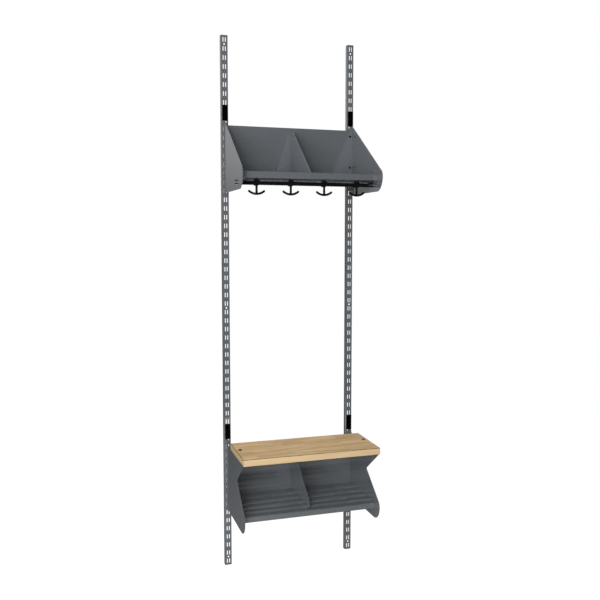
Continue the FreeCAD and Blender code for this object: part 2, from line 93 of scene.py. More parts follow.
class HallUnitSizes(bpy.types.PropertyGroup):
    """Sizes of the details that are added to the pieces."""

    sheet_edge_round: bpy.props.FloatProperty(
        name="Sheet edge round", description="Round that the coating leaves on a cut sheet edge",
        default=0.0004, min=0.0, unit="LENGTH", precision=4)
    horn_top_depth: bpy.props.FloatProperty(
        name="Horn top depth", description="Depth of the bench plates' horns at the top",
        default=0.014, min=0.0, unit="LENGTH", precision=4)
    horn_foot_depth: bpy.props.FloatProperty(
        name="Horn foot depth", description="Depth of the bench plates' horns at the seat's underside",
        default=0.030, min=0.0, unit="LENGTH", precision=4)
    seat_relief: bpy.props.FloatProperty(
        name="Seat relief", description="Gap that the bench plates leave behind the seat",
        default=0.003, min=0.0, unit="LENGTH", precision=4)
    rail_edge_round: bpy.props.FloatProperty(
        name="Rail edge round", description="Round on the edges of the hook rail",
        default=0.0007, min=0.0, unit="LENGTH", precision=4)
    cap_height: bpy.props.FloatProperty(
        name="Cap height", description="Height of the cap on the end of a rail tenon",
        default=0.0058, min=0.0, unit="LENGTH", precision=4)
    cap_taper: bpy.props.FloatProperty(
        name="Cap taper", description="How much the cap on a rail tenon narrows on each side",
        default=0.0005, min=0.0, unit="LENGTH", precision=4)
    hook_arm_thickness: bpy.props.FloatProperty(
        name="Hook arm thickness", description="Thickness of a coat hook's arms",
        default=0.0078, min=0.001, unit="LENGTH", precision=4)
    hook_arm_radius: bpy.props.FloatProperty(
        name="Hook arm radius", description="Radius of the bow that a coat hook's arms follow",
        default=0.042, min=0.005, unit="LENGTH", precision=4)
    hook_arm_half_angle: bpy.props.FloatProperty(
        name="Hook arm half angle", description="Angle of the bow on each side of the stem",
        default=math.radians(40), min=0.1, subtype="ANGLE")
    hook_stem_width: bpy.props.FloatProperty(
        name="Hook stem width", description="Thickness of a coat hook's stem",
        default=0.0080, min=0.001, unit="LENGTH", precision=4)
    hook_boss_thickness: bpy.props.FloatProperty(
        name="Hook boss thickness", description="Depth of the round boss in front of the rail",
        default=0.0035, min=0.0005, unit="LENGTH", precision=4)
    hook_jaw_wall: bpy.props.FloatProperty(
        name="Hook jaw wall", description="Wall of the jaws that hold a coat hook on the rail",
        default=0.0025, min=0.0005, unit="LENGTH", precision=4)
    hook_jaw_width: bpy.props.FloatProperty(
        name="Hook jaw width", description="Width of the jaws along the rail",
        default=0.014, min=0.002, unit="LENGTH", precision=4)
    clip_edge_round: bpy.props.FloatProperty(
        name="Clip edge round", description="Round on the moulded edges of a lock clip",
        default=0.0014, min=0.0, unit="LENGTH", precision=4)
    seat_edge_round: bpy.props.FloatProperty(
        name="Seat edge round", description="Round on the edges of the seat board",
        default=0.0013, min=0.0, unit="LENGTH", precision=4)
    stave_width: bpy.props.FloatProperty(
        name="Stave width", description="Width of the staves that the seat is glued from",
        default=0.042, min=0.01, unit="LENGTH", precision=4)
    stave_length: bpy.props.FloatProperty(
        name="Stave length", description="Length of the staves that the seat is glued from",
        default=0.34, min=0.05, unit="LENGTH", precision=4)


class HallUnitColours(bpy.types.PropertyGroup):
    """Colours of the finishes."""

    coat: bpy.props.FloatVectorProperty(
        name="Powder coat", description="Grey of the powder coat on the steelwork",
        default=linear("#616569"), min=0.0, max=1.0, subtype="COLOR")
    # Painted highlight: the rounded sheet edges take this paler grey in place of the light that they catch.
    coat_edge_highlight: bpy.props.FloatVectorProperty(
        name="Powder coat edge highlight", description="Painted highlight: paler grey on the rounded sheet edges",
        default=linear("#676b6f"), min=0.0, max=1.0, subtype="COLOR")
    enamel: bpy.props.FloatVectorProperty(
        name="Enamel", description="Black of the hook rail and the coat hooks",
        default=linear("#0b0b0c"), min=0.0, max=1.0, subtype="COLOR")
    # Painted highlight: the hook rail's sloped edge is given this grey in place of the light that it catches.
    enamel_edge_highlight: bpy.props.FloatVectorProperty(
        name="Enamel edge highlight", description="Painted highlight: grey on the hook rail's sloped edge",
        default=linear("#64676a"), min=0.0, max=1.0, subtype="COLOR")
    nylon: bpy.props.FloatVectorProperty(
        name="Clip plastic", description="Black of the lock clips",
        default=linear("#020203"), min=0.0, max=1.0, subtype="COLOR")
    steel: bpy.props.FloatVectorProperty(
        name="Blackened steel", description="Colour of the screws and nuts",
        default=linear("#3b3c3f"), min=0.0, max=1.0, subtype="COLOR")
    wood_light: bpy.props.FloatVectorProperty(
        name="Light wood", description="Pale wood of the seat's staves",
        default=linear("#e2c599"), min=0.0, max=1.0, subtype="COLOR")
    wood_dark: bpy.props.FloatVectorProperty(
        name="Dark wood", description="Darker streaks in the seat's staves",
        default=linear("#b88a54"), min=0.0, max=1.0, subtype="COLOR")
    # Painted shade: the seat's underside is made dark as it lies in shade, and the gloss below it mirrors it
    # so.
    shaded_underside_pale: bpy.props.FloatVectorProperty(
        name="Shaded underside pale", description="Pale wood of the seat's underside, darkened as painted shade",
        default=linear("#3a3631"), min=0.0, max=1.0, subtype="COLOR")
    shaded_underside_streaks: bpy.props.FloatVectorProperty(
        name="Shaded underside streaks", description="Darker streaks of the seat's underside, darkened as painted shade",
        default=linear("#2b2825"), min=0.0, max=1.0, subtype="COLOR")
    lipping: bpy.props.FloatVectorProperty(
        name="Lipping", description="Wood of the strip around the seat's edge",
        default=linear("#c3ad88"), min=0.0, max=1.0, subtype="COLOR")
    lipping_streak: bpy.props.FloatVectorProperty(
        name="Lipping streaks", description="Darker streaks in the strip around the seat's edge",
        default=linear("#b19368"), min=0.0, max=1.0, subtype="COLOR")
    seam: bpy.props.FloatVectorProperty(
        name="Seam", description="Glue line along the seat's upper edges",
        default=linear("#4f3b22"), min=0.0, max=1.0, subtype="COLOR")


def sizes():
    """The sizes as the user has set them."""
    return bpy.context.scene.hall_unit_sizes


def colours():
    """The colours as the user has set them."""
    return bpy.context.scene.hall_unit_colours


def set_inputs(tree, node, inputs):
    """Set a shader node's inputs, or link them to other nodes' outputs."""
    for name, value in inputs.items():
        if isinstance(value, bpy.types.NodeSocket):
            tree.links.new(value, node.inputs[name])
        else:
            node.inputs[name].default_value = value


def add_node(tree, kind, settings, inputs):
    """Add a shader node, set its options, and set or link its inputs."""
    node = tree.nodes.new(kind)
    for name, value in settings.items():
        setattr(node, name, value)
    set_inputs(tree, node, inputs)
    return node


def new_material(name):
    """An empty node material, its node tree, its surface shader and the object's own coordinates."""
    material = bpy.data.materials.new(name)
    material.use_nodes = True
    tree = material.node_tree
    tree.nodes.clear()
    shader = add_node(tree, "ShaderNodeBsdfPrincipled", {}, {})
    add_node(tree, "ShaderNodeOutputMaterial", {}, {"Surface": shader.outputs["BSDF"]})
    place = add_node(tree, "ShaderNodeTexCoord", {}, {}).outputs["Object"]
    return material, tree, shader, place


def per_metre(millimetres):
    """The texture scale whose features are about this many millimetres across."""
    return 1000 / millimetres


def powder_coat(name, colour, roughness):
    """Polyester powder coat, sprayed dry on sheet steel and baked: even grey, with a soft orange peel."""
    material, tree, shader, place = new_material(name)
    # The coat's thickness drifts over a hand's width, which shows as a faint cloud in its grey.
    cloud = add_node(tree, "ShaderNodeTexNoise", {}, {"Vector": place, "Scale": per_metre(90), "Detail": 3.0})
    shade = add_node(tree, "ShaderNodeMapRange", {},
                     {"Value": cloud.outputs["Fac"], "From Min": 0.3, "From Max": 0.7,
                      "To Min": 0.97, "To Max": 1.03})
    tint = add_node(tree, "ShaderNodeVectorMath", {"operation": "SCALE"},
                    {"Vector": colour, "Scale": shade.outputs["Result"]})
    # Orange peel is about 1.5 mm across, and is drawn at 4 mm so that it shows from a few metres.
    peel = add_node(tree, "ShaderNodeTexNoise", {}, {"Vector": place, "Scale": per_metre(4), "Detail": 2.0})
    gloss = add_node(tree, "ShaderNodeMapRange", {},
                     {"Value": peel.outputs["Fac"], "From Min": 0.3, "From Max": 0.7,
                      "To Min": roughness - 0.02, "To Max": roughness + 0.02})
    bump = add_node(tree, "ShaderNodeBump", {},
                    {"Height": peel.outputs["Fac"], "Strength": 0.015, "Distance": 0.0001})
    # Flakes of metal in the coat mirror its neighbours far more than plain polyester would.
    set_inputs(tree, shader, {"Base Color": tint.outputs["Vector"], "Roughness": gloss.outputs["Result"],
                              "Normal": bump.outputs["Normal"], "IOR": 4.0})
    return material


def enamel(name, colour):
    """Stoved enamel on steel bar and cast hooks: dipped, so smooth and satin, with rounded highlights."""
    material, tree, shader, place = new_material(name)
    # The dip dries in slight waves, about 3 mm across.
    wave = add_node(tree, "ShaderNodeTexNoise", {}, {"Vector": place, "Scale": per_metre(3), "Detail": 3.0})
    gloss = add_node(tree, "ShaderNodeMapRange", {},
                     {"Value": wave.outputs["Fac"], "To Min": 0.28, "To Max": 0.44})
    bump = add_node(tree, "ShaderNodeBump", {},
                    {"Height": wave.outputs["Fac"], "Strength": 0.15, "Distance": 0.0003})
    # Coat loops rub the enamel: in patches of about 12 mm it is a little greyer.
    rub = add_node(tree, "ShaderNodeTexNoise", {}, {"Vector": place, "Scale": per_metre(12), "Detail": 4.0})
    worn = add_node(tree, "ShaderNodeMapRange", {},
                    {"Value": rub.outputs["Fac"], "From Min": 0.45, "From Max": 0.75,
                     "To Min": 1.0, "To Max": 1.8})
    tint = add_node(tree, "ShaderNodeVectorMath", {"operation": "SCALE"},
                    {"Vector": colour, "Scale": worn.outputs["Result"]})
    set_inputs(tree, shader, {"Base Color": tint.outputs["Vector"], "Roughness": gloss.outputs["Result"],
                              "Normal": bump.outputs["Normal"], "IOR": 1.5})
    return material


def moulded_nylon(name, colour):
    """Nylon moulded in a spark-eroded tool: black all through, with a fine matt grain."""
    material, tree, shader, place = new_material(name)
    # The tool's grain is about 0.1 mm across, and is drawn at 1 mm so that it shows.
    grain = add_node(tree, "ShaderNodeTexNoise", {}, {"Vector": place, "Scale": per_metre(1), "Detail": 2.0})
    gloss = add_node(tree, "ShaderNodeMapRange", {},
                     {"Value": grain.outputs["Fac"], "To Min": 0.42, "To Max": 0.62})
    bump = add_node(tree, "ShaderNodeBump", {},
                    {"Height": grain.outputs["Fac"], "Strength": 0.25, "Distance": 0.0002})
    # The melt's flow leaves paler and darker patches of about 15 mm.
    flow = add_node(tree, "ShaderNodeTexNoise", {}, {"Vector": place, "Scale": per_metre(15), "Detail": 2.0})
    shade = add_node(tree, "ShaderNodeMapRange", {},
                     {"Value": flow.outputs["Fac"], "To Min": 0.8, "To Max": 1.3})
    tint = add_node(tree, "ShaderNodeVectorMath", {"operation": "SCALE"},
                    {"Vector": colour, "Scale": shade.outputs["Result"]})
    set_inputs(tree, shader, {"Base Color": tint.outputs["Vector"], "Roughness": gloss.outputs["Result"],
                              "Normal": bump.outputs["Normal"], "IOR": 1.53, "Specular IOR Level": 0.1})
    return material


def blackened_steel(name, colour):
    """Turned steel, blackened in hot oxide: dark, with a dull sheen and paler rubbed patches."""
    material, tree, shader, place = new_material(name)
    # The patches are about 2 mm across, and are smoother as well as paler.
    patch = add_node(tree, "ShaderNodeTexNoise", {}, {"Vector": place, "Scale": per_metre(2), "Detail": 4.0})
    shade = add_node(tree, "ShaderNodeMapRange", {},
                     {"Value": patch.outputs["Fac"], "From Min": 0.35, "From Max": 0.7,
                      "To Min": 0.8, "To Max": 1.6})
    tint = add_node(tree, "ShaderNodeVectorMath", {"operation": "SCALE"},
                    {"Vector": colour, "Scale": shade.outputs["Result"]})
    gloss = add_node(tree, "ShaderNodeMapRange", {},
                     {"Value": patch.outputs["Fac"], "To Min": 0.5, "To Max": 0.3})
    set_inputs(tree, shader, {"Base Color": tint.outputs["Vector"], "Roughness": gloss.outputs["Result"],
                              "Metallic": 1.0})
    return material


def glued_staves(name, light, dark):
    """Hardwood staves glued edge to edge, planed and sealed: straight grain, each stave its own tone."""
    material, tree, shader, place = new_material(name)
    # Rows of butted staves, with a hairline of glue between them.
    shift = add_node(tree, "ShaderNodeMapping", {}, {"Vector": place, "Location": (0.07, 0.303, 0.0)})
    stave = add_node(tree, "ShaderNodeTexBrick", {"offset": 0.37, "offset_frequency": 2},
                     {"Vector": shift.outputs["Vector"], "Scale": 1.0, "Mortar Size": 0.0003,
                      "Mortar Smooth": 0.5, "Bias": 0.0, "Brick Width": sizes().stave_length,
                      "Row Height": sizes().stave_width, "Color1": (0.0, 0.0, 0.0, 1.0),
                      "Color2": (1.0, 1.0, 1.0, 1.0), "Mortar": (0.0, 0.0, 0.0, 1.0)})
    # Each stave takes its grain from another place in the log.
    offset = add_node(tree, "ShaderNodeVectorMath", {"operation": "SCALE"},
                      {"Vector": stave.outputs["Color"], "Scale": 3.0})
    log = add_node(tree, "ShaderNodeVectorMath", {"operation": "ADD"},
                   {0: place, 1: offset.outputs["Vector"]})
    # Growth rings run along X, about 7 mm apart.
    along = add_node(tree, "ShaderNodeMapping", {},
                     {"Vector": log.outputs["Vector"], "Scale": (0.05, 1.0, 1.0)})
    rings = add_node(tree, "ShaderNodeTexNoise", {},
                     {"Vector": along.outputs["Vector"], "Scale": per_metre(7), "Detail": 4.0,
                      "Roughness": 0.6})
    streak = add_node(tree, "ShaderNodeMapRange", {},
                      {"Value": rings.outputs["Fac"], "From Min": 0.38, "From Max": 0.66,
                       "To Min": 0.0, "To Max": 0.85})
    figure = add_node(tree, "ShaderNodeMix", {"data_type": "RGBA"},
                      {"Factor": streak.outputs["Result"], "A": (*light, 1.0), "B": (*dark, 1.0)})
    # Pores are finer than half a millimetre, and are drawn 1.5 mm wide so that they show.
    fibre = add_node(tree, "ShaderNodeMapping", {},
                     {"Vector": log.outputs["Vector"], "Scale": (0.03, 1.0, 1.0)})
    pores = add_node(tree, "ShaderNodeTexNoise", {},
                     {"Vector": fibre.outputs["Vector"], "Scale": per_metre(1.5), "Detail": 2.0})
    tone = add_node(tree, "ShaderNodeMapRange", {},
                    {"Value": stave.outputs["Color"], "To Min": 0.98, "To Max": 1.14})
    pore_shade = add_node(tree, "ShaderNodeMapRange", {},
                          {"Value": pores.outputs["Fac"], "From Min": 0.3, "From Max": 0.6,
                           "To Min": 0.88, "To Max": 1.02})
    glue_shade = add_node(tree, "ShaderNodeMapRange", {},
                          {"Value": stave.outputs["Fac"], "To Min": 1.0, "To Max": 0.72})
    stave_shade = add_node(tree, "ShaderNodeMath", {"operation": "MULTIPLY"},
                           {0: tone.outputs["Result"], 1: pore_shade.outputs["Result"]})
    shade = add_node(tree, "ShaderNodeMath", {"operation": "MULTIPLY"},
                     {0: stave_shade.outputs["Value"], 1: glue_shade.outputs["Result"]})
    wood = add_node(tree, "ShaderNodeVectorMath", {"operation": "SCALE"},
                    {"Vector": figure.outputs["Result"], "Scale": shade.outputs["Value"]})
    gloss = add_node(tree, "ShaderNodeMapRange", {},
                     {"Value": pores.outputs["Fac"], "To Min": 0.55, "To Max": 0.42})
    bump = add_node(tree, "ShaderNodeBump", {},
                    {"Height": pores.outputs["Fac"], "Strength": 0.2, "Distance": 0.0002})
    set_inputs(tree, shader, {"Base Color": wood.outputs["Vector"], "Roughness": gloss.outputs["Result"],
                              "Normal": bump.outputs["Normal"], "IOR": 1.5, "Specular IOR Level": 0.2})
    return material


def solid_lipping(name, wood, streaks):
    """A solid strip glued around the staves and lacquered: pale wood with its grain along the strip."""
    material, tree, shader, place = new_material(name)
    # Fibres run along X and Y, so that only the height on the edge changes their tone, every 6 mm or so.
    along = add_node(tree, "ShaderNodeMapping", {}, {"Vector": place, "Scale": (0.04, 0.04, 1.0)})
    rings = add_node(tree, "ShaderNodeTexNoise", {},
                     {"Vector": along.outputs["Vector"], "Scale": per_metre(6), "Detail": 4.0,
                      "Roughness": 0.6})
    streak = add_node(tree, "ShaderNodeMapRange", {},
                      {"Value": rings.outputs["Fac"], "From Min": 0.35, "From Max": 0.7,
                       "To Min": 0.0, "To Max": 0.6})
    figure = add_node(tree, "ShaderNodeMix", {"data_type": "RGBA"},
                      {"Factor": streak.outputs["Result"], "A": (*wood, 1.0), "B": (*streaks, 1.0)})
    gloss = add_node(tree, "ShaderNodeMapRange", {},
                     {"Value": rings.outputs["Fac"], "To Min": 0.55, "To Max": 0.42})
    set_inputs(tree, shader, {"Base Color": figure.outputs["Result"], "Roughness": gloss.outputs["Result"],
                              "IOR": 1.5, "Specular IOR Level": 0.2})
    return material


def glue_seam(name, colour):
    """Glue and dirt in the seam between the staves and their lipping: a dull dark line along the arris."""
    material, tree, shader, place = new_material(name)
    # The line is darker and paler by turns, every 8 mm or so.
    lump = add_node(tree, "ShaderNodeTexNoise", {}, {"Vector": place, "Scale": per_metre(8), "Detail": 2.0})
    shade = add_node(tree, "ShaderNodeMapRange", {},
                     {"Value": lump.outputs["Fac"], "To Min": 0.7, "To Max": 1.3})
    tint = add_node(tree, "ShaderNodeVectorMath", {"operation": "SCALE"},
                    {"Vector": colour, "Scale": shade.outputs["Result"]})
    set_inputs(tree, shader, {"Base Color": tint.outputs["Vector"], "Roughness": 0.7})
    return material


COAT_ROUGHNESS = 0.08
# The rounded sheet edges are rougher, and their paler coat is a painted highlight.
EDGE_ROUGHNESS = 0.20


def finish(name):
    """A finish by name, made the first time that it is asked for."""
    tints = colours()
    recipes = {
        "powder_coated_steel": (powder_coat, tints.coat, COAT_ROUGHNESS),
        # The sheet edges' paler coat is a painted highlight.
        "edge_highlight_powder_coat": (powder_coat, tints.coat_edge_highlight, EDGE_ROUGHNESS),
        "stoved_black_enamel": (enamel, tints.enamel),
        # The hook rail's sloped edge is grey as a painted highlight.
        "edge_highlight_black_enamel": (enamel, tints.enamel_edge_highlight),
        "moulded_black_nylon": (moulded_nylon, tints.nylon),
        "blackened_turned_steel": (blackened_steel, tints.steel),
        "lacquered_hardwood_staves": (glued_staves, tints.wood_light, tints.wood_dark),
        # The seat's underside is darkened as painted shade.
        "shaded_hardwood_underside": (glued_staves, tints.shaded_underside_pale, tints.shaded_underside_streaks),
        "lacquered_hardwood_lipping": (solid_lipping, tints.lipping, tints.lipping_streak),
        "glue_filled_seam": (glue_seam, tints.seam),
    }
    maker, *values = recipes[name]
    return bpy.data.materials.get(name) or maker(name, *values)


def activate(obj):
    """Make one object the only one selected."""
    if bpy.context.mode != "OBJECT":
        bpy.ops.object.mode_set(mode="OBJECT")
    bpy.ops.object.select_all(action="DESELECT")
    obj.select_set(True)
    bpy.context.view_layer.objects.active = obj


def edit(obj):
    """Open one object in edit mode."""
    activate(obj)
    bpy.ops.object.mode_set(mode="EDIT")


def settle(obj):
    """Put an object's place, turn and scale into its mesh."""
    activate(obj)
    bpy.ops.object.transform_apply(location=True, rotation=True, scale=True)
    return obj


def add_block(low, high):
    """A block between two corners."""
    bpy.ops.object.select_all(action="DESELECT")
    low, high = Vector(low), Vector(high)
    bpy.ops.mesh.primitive_cube_add(size=1, location=(low + high) / 2, scale=high - low)
    return settle(bpy.context.object)


def add_bar(start, end, radius, corners):
    """A round or many-sided bar between two points."""
    bpy.ops.object.select_all(action="DESELECT")
    start, end = Vector(start), Vector(end)
    turn = Vector((0, 0, 1)).rotation_difference(end - start).to_euler()
    bpy.ops.mesh.primitive_cylinder_add(vertices=corners, radius=radius, depth=(end - start).length,
                                        location=(start + end) / 2, rotation=turn)
    return settle(bpy.context.object)


def corner_radius(half_width):
    """The radius at a hexagon's corners, from half its width across flats."""
    return half_width / math.cos(math.pi / 6)


def add_hexagon(start, end, half_width):
    """A six-sided bar between two points, from half its width across flats."""
    return add_bar(start, end, corner_radius(half_width), corners=6)


def pick(obj, kind, test):
    """In edit mode, select only the faces or edges that pass a test of their middle and themselves."""
    bpy.ops.mesh.select_mode(type=kind)
    bpy.ops.mesh.select_all(action="DESELECT")
    mesh = bmesh.from_edit_mesh(obj.data)
    for element in {"FACE": mesh.faces, "EDGE": mesh.edges}[kind]:
        middle = sum((corner.co for corner in element.verts), Vector()) / len(element.verts)
        if test(middle, element):
            element.select_set(True)
    bmesh.update_edit_mesh(obj.data)


def use_finish(obj, finish_name):
    """In edit mode, give the selected faces one of the piece's finishes."""
    obj.active_material_index = obj.data.materials.find(finish_name)
    bpy.ops.object.material_slot_assign()


def modify(obj, kind, settings):
    """Give a piece a modifier with these settings, and apply it."""
    activate(obj)
    bpy.ops.object.modifier_add(type=kind)
    modifier = obj.modifiers[-1]
    for name, value in settings.items():
        setattr(modifier, name, value)
    bpy.ops.object.modifier_apply(modifier=modifier.name)


def combine(obj, other, operation):
    """Unite, cut or intersect a piece with another one, which is used up."""
    modify(obj, "BOOLEAN", {"operation": operation, "object": other, "solver": "EXACT"})
    bpy.data.objects.remove(other)


def round_edges(obj, width, segments, angle=30, finish_name=""):
    """Round every edge sharper than an angle, with the finish of the faces beside it or one that is named."""
    modify(obj, "BEVEL", {"width": width, "segments": segments, "limit_method": "ANGLE",
                          "angle_limit": math.radians(angle), "use_clamp_overlap": True,
                          "material": obj.data.materials.find(finish_name)})


def round_some(obj, test, width, segments):
    """Round only the edges that pass a test; one segment makes a chamfer."""
    edit(obj)
    pick(obj, "EDGE", test)
    bpy.ops.mesh.bevel(offset=width, segments=segments, affect="EDGES")
    bpy.ops.object.mode_set(mode="OBJECT")


def joined(objects):
    """Join several objects into the first."""
    activate(objects[0])
    for obj in objects[1:]:
        obj.select_set(True)
    bpy.ops.object.join()
    return objects[0]


def copied(obj, move):
    """A copy of a piece with its own mesh, moved along."""
    activate(obj)
    bpy.ops.object.duplicate(linked=False)
    bpy.ops.transform.translate(value=move)
    return settle(bpy.context.object)


def complete(obj, name, finish_names, body, nodes):
    """Name a piece, shade it, give it its finishes, and put it in place of its CAD nodes."""
    settle(obj)
    obj.name = name
    obj.data.name = name
    bpy.ops.object.shade_smooth_by_angle(angle=math.radians(32))
    # The rounds shade smoothly, and the flat faces beside them stay flat.
    modify(obj, "WEIGHTED_NORMAL", {"keep_sharp": True})
    if not obj.data.materials:
        for finish_name in finish_names:
            obj.data.materials.append(finish(finish_name))
    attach(obj, body)
    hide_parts(*nodes)


def copy_of_node(node, finish_names):
    """A copy of a CAD node, its loose triangles joined into whole faces."""
    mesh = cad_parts[node].data.copy()
    mesh.materials.clear()
    for finish_name in finish_names:
        mesh.materials.append(finish(finish_name))
    obj = bpy.data.objects.new(node + "_finished", mesh)
    bpy.context.scene.collection.objects.link(obj)
    edit(obj)
    bpy.ops.mesh.customdata_custom_splitnormals_clear()
    bpy.ops.mesh.select_all(action="SELECT")
    bpy.ops.mesh.remove_doubles(threshold=NEAR)
    bpy.ops.mesh.dissolve_limited(angle_limit=math.radians(0.5), use_dissolve_boundaries=False)
    bpy.ops.object.mode_set(mode="OBJECT")
    return obj


class HALLUNIT_OT_steelwork(bpy.types.Operator):
    """Trim the bench's end plates, round the edges of the sheets and uprights, and powder-coat them"""

    bl_idname = "hall_unit.steelwork"
    bl_label = "Coat Steelwork"

    def trim_behind_seat(self, plate):
        """Cut a plate down to the seat's underside, between the seat and the horn at the upright."""
        low, high = Vector(plate.bound_box[0]), Vector(plate.bound_box[6])
        seat_low, seat_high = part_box("bench_seat")
        front_of_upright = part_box("upright_left")[0].y
        horn_top = front_of_upright - sizes().horn_top_depth
        horn_foot = front_of_upright - sizes().horn_foot_depth
        waste = add_block((low.x - OVERRUN, seat_high.y + sizes().seat_relief, seat_low.z),
                          (high.x + OVERRUN, horn_foot, high.z))
        edit(waste)
        pick(waste, "EDGE", lambda middle, edge: middle.y > horn_foot - NEAR and middle.z > high.z - NEAR)
        bpy.ops.transform.translate(value=(0, horn_top - horn_foot, 0))
        pick(waste, "FACE", lambda middle, face: middle.z > high.z - NEAR)
        bpy.ops.transform.translate(value=(0, 0, OVERRUN))
        bpy.ops.object.mode_set(mode="OBJECT")
        combine(plate, waste, "DIFFERENCE")

    def execute(self, context):
        finishes = ("powder_coated_steel", "edge_highlight_powder_coat")
        for node in STEELWORK:
            obj = copy_of_node(node, finishes)
            if node.startswith("bench_end_plate"):
                self.trim_behind_seat(obj)
            # The rounds on the sheet edges take the paler coat: a painted highlight.
            round_edges(obj, sizes().sheet_edge_round, segments=2, angle=40, finish_name="edge_highlight_powder_coat")
            complete(obj, node + "_coated", finishes, "frame", [node])
        return {"FINISHED"}


class HALLUNIT_OT_hook_rail(bpy.types.Operator):
    """Round the edges of the hook rail, enamel it and cap its tenons"""

    bl_idname = "hall_unit.hook_rail"
    bl_label = "Enamel Hook Rail"

    def execute(self, context):
        finishes = ("stoved_black_enamel", "edge_highlight_black_enamel")
        obj = copy_of_node("hook_rail", finishes)
        tenon_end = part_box("hook_rail")[1].x
        round_edges(obj, sizes().rail_edge_round, segments=3)
        edit(obj)
        # Painted highlight: the rail's sloped top edge takes the grey enamel in place of the light that it
        # catches.
        pick(obj, "FACE", lambda middle, face: -face.normal.y > SLOPED and face.normal.z > SLOPED)
        use_finish(obj, "edge_highlight_black_enamel")
        # A cap stands on the end of each tenon, outside the end plates.
        pick(obj, "FACE", lambda middle, face: abs(middle.x) > tenon_end - NEAR)
        bpy.ops.mesh.inset(thickness=sizes().cap_taper, depth=sizes().cap_height, use_individual=True)
        bpy.ops.object.mode_set(mode="OBJECT")
        complete(obj, "hook_rail_enamelled", finishes, "frame", ["hook_rail"])
        return {"FINISHED"}


# Inset and rise of each ring on the domed end of an arm, as parts of the arm's thickness.
DOME_RINGS = ((0.12, 0.22), (0.13, 0.14), (0.13, 0.06))
# How far the middle of the stem lies behind the middle of the arms.
STEM_SETBACK = 0.0003
BOSS_RIM_ROUND = 0.0016
# Inner corners finer than this are filled by the metal as it is cast.
CASTING_VOXEL = 0.00045
# Height of the lips that close on the rail from behind, as a multiple of the jaws' wall.
JAW_LIP_RATIO = 2.4
JAW_EDGE_ROUND = 0.0005


class HALLUNIT_OT_coat_hooks(bpy.types.Operator):
    """Cast one anchor hook with its jaws, and copy it along the rail"""

    bl_idname = "hall_unit.coat_hooks"
    bl_label = "Cast Coat Hooks"

    def add_arms(self, x, y, center):
        """The bow: a ring of points spun about the bow's centre, its two ends domed."""
        thickness = sizes().hook_arm_thickness
        radius = sizes().hook_arm_radius
        half_angle = sizes().hook_arm_half_angle
        start = (x - radius * math.sin(half_angle), y, center - radius * math.cos(half_angle))
        bpy.ops.object.select_all(action="DESELECT")
        bpy.ops.mesh.primitive_circle_add(vertices=16, radius=thickness / 2, location=start,
                                          rotation=(0, math.pi / 2 + half_angle, 0))
        bow = settle(bpy.context.object)
        edit(bow)
        bpy.ops.mesh.select_all(action="SELECT")
        bpy.ops.mesh.spin(steps=24, angle=2 * half_angle, center=(x, y, center), axis=(0, 1, 0))
        bpy.ops.mesh.select_all(action="SELECT")
        bpy.ops.mesh.fill_holes(sides=0)
        bpy.ops.mesh.normals_make_consistent(inside=False)
        # The two end faces are the only ones with more than four corners.
        for inset, rise in DOME_RINGS:
            pick(bow, "FACE", lambda middle, face: len(face.verts) > 4)
            bpy.ops.mesh.inset(thickness=inset * thickness, depth=rise * thickness)
        bpy.ops.object.mode_set(mode="OBJECT")
        return bow

    def add_jaws(self, x, front, back, low, high):
        """The jaws: a block round the rail, open behind between two lips."""
        wall = sizes().hook_jaw_wall
        half = sizes().hook_jaw_width / 2
        lip = JAW_LIP_RATIO * wall
        jaws = add_block((x - half, front, low), (x + half, back, high))
        gap = add_block((x - 2 * half, front + wall, low + wall), (x + 2 * half, back - wall, high - wall))
        mouth = add_block((x - 2 * half, back - 2 * wall, low + lip), (x + 2 * half, back + wall, high - lip))
        combine(jaws, gap, "DIFFERENCE")
        combine(jaws, mouth, "DIFFERENCE")
        round_edges(jaws, JAW_EDGE_ROUND, segments=2)
        return jaws

    def execute(self, context):
        low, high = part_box(COAT_HOOKS[0])
        rail_low, rail_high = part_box("hook_rail")
        x = (low.x + high.x) / 2
        middle = (rail_low.z + rail_high.z) / 2
        boss_radius = high.z - middle
        boss_back = low.y + sizes().hook_boss_thickness
        arm_y = low.y + sizes().hook_arm_thickness / 2
        arm_z = low.z + sizes().hook_arm_thickness / 2
        stem_y = arm_y + STEM_SETBACK
        casting = self.add_arms(x, arm_y, arm_z + sizes().hook_arm_radius)
        stem = add_bar((x, stem_y, arm_z), (x, stem_y, middle), sizes().hook_stem_width / 2, corners=20)
        boss = add_bar((x, boss_back, middle), (x, low.y, middle), boss_radius, corners=40)
        round_some(boss, lambda place, edge: place.y < low.y + NEAR, BOSS_RIM_ROUND, segments=4)
        combine(casting, stem, "UNION")
        combine(casting, boss, "UNION")
        # Molten metal leaves no sharp inner corner: the joins flow into each other.
        modify(casting, "REMESH", {"mode": "VOXEL", "voxel_size": CASTING_VOXEL})
        modify(casting, "SMOOTH", {"factor": 0.5, "iterations": 3})
        jaws = self.add_jaws(x, boss_back, high.y, high.z - 2 * boss_radius, high.z)
        hook = joined([casting, jaws])
        hooks = [hook]
        for node in COAT_HOOKS[1:]:
            hooks.append(copied(hook, (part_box(node)[0].x - low.x, 0, 0)))
        for node, obj in zip(COAT_HOOKS, hooks):
            complete(obj, node + "_cast", ["stoved_black_enamel"], node, [node])
        return {"FINISHED"}


# Grooves of the finger grip: their tops below the clip's top, and their size.
GROOVE_TOPS = (0.0045, 0.0082, 0.0119)
GROOVE_HEIGHT = 0.0024
GROOVE_DEPTH = 0.0016
GROOVE_ROUND = 0.0006
# Pegs: their columns beside the upright's middle, their feet and tops above the clip's foot,
# their width, and how much of each side is left at the tip.
PEG_COLUMNS = (-0.0042, 0.0042)
PEG_SPANS = ((0.0, 0.0101), (0.0260, 0.0421))
PEG_WIDTH = 0.0030
PEG_TIP = (0.7, 1.0, 0.94)


